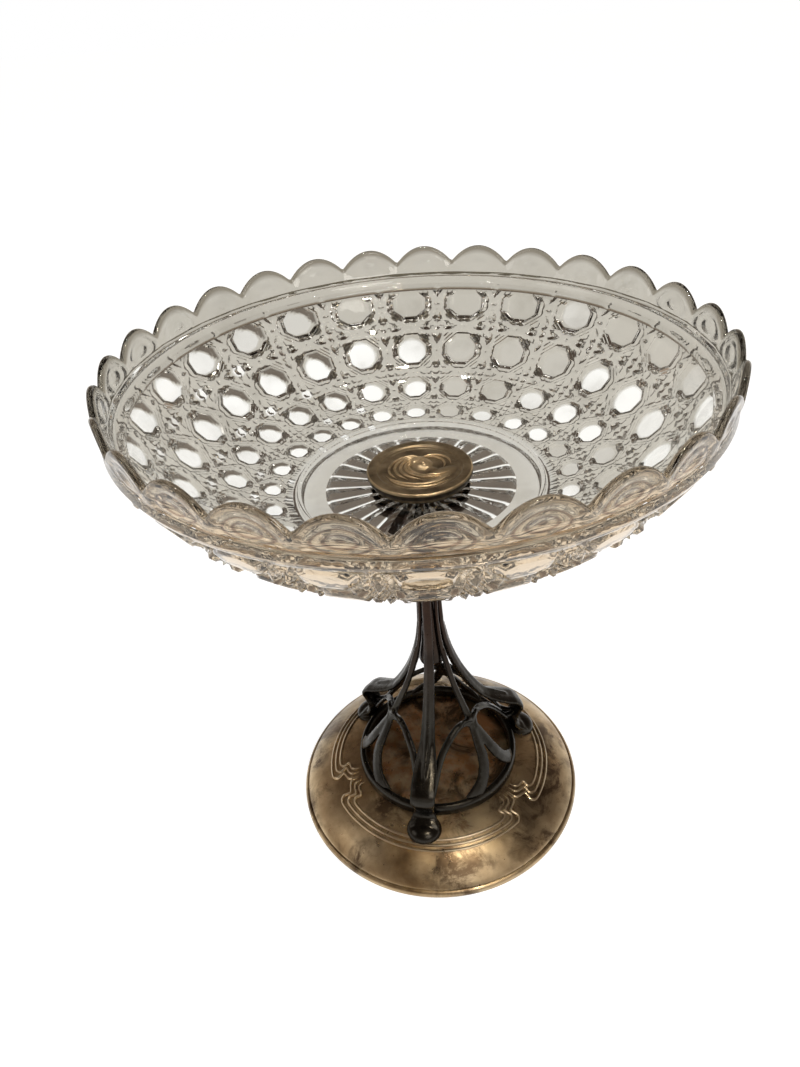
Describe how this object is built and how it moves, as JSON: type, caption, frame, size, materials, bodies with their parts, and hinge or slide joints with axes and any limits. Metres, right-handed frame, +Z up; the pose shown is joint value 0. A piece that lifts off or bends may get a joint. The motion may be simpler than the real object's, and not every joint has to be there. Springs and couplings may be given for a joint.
{
  "type": "footed serving bowl",
  "caption": "Footed serving bowl: scalloped pressed-glass bowl clamped by a screwed medallion to an openwork metal stem on a domed metal base.",
  "frame": {"origin": "middle of the base, on the table", "axes": "+Z up along the stem; -Y is the front, the side the medallion's figure faces"},
  "size_m": [0.23, 0.23, 0.247],
  "materials": {
    "glass": "clear pressed glass, fire polished",
    "medallion_bronze": "tarnished, rubbed on the high relief",
    "backing_metal": "dark tarnished",
    "pewter": "dark pewter patina, satin",
    "silver_plate": "worn and tarnished silver plate over brass",
    "steel": "dull",
    "leather": "matt"
  },
  "bodies": {
    "stand": {"support_plate": "pewter", "lower_washer": "leather", "stem_collar": "pewter", "stem_socket": "steel", "stem_core": "pewter", "stem_leg_1": "pewter", "stem_leg_2": "pewter", "stem_leg_3": "pewter", "stem_web_1": "pewter", "stem_web_2": "pewter", "stem_web_3": "pewter", "stem_ring": "pewter", "base_dome": "silver_plate", "base_bead": "silver_plate", "foot_washer_1": "steel", "foot_washer_2": "steel", "foot_washer_3": "steel", "foot_screw_1": "steel", "foot_screw_2": "steel", "foot_screw_3": "steel"},
    "bowl": {"glass_bowl": "glass"},
    "washer": {"upper_washer": "leather"},
    "medallion": {"medallion_face": "medallion_bronze", "medallion_backing": "backing_metal", "clamp_stud": "steel"}
  },
  "joints": [
    {"name": "bowl_lift", "type": "slide", "parent": "stand", "child": "bowl", "axis": [0, 0, 1], "range_m": [0, 0.06]},
    {"name": "medallion_rise", "type": "slide", "parent": "bowl", "child": "washer", "axis": [0, 0, 1], "range_m": [0, 0.0161]},
    {"name": "medallion_turn", "type": "hinge", "parent": "washer", "child": "medallion", "pos_m": [0, 0, 0.19], "axis": [0, 0, 1], "range_deg": [0, 7200]}
  ],
  "couplings": [
    {"joint": "medallion_rise", "follows": "medallion_turn", "m_per_rad": 0.00012732}
  ]
}
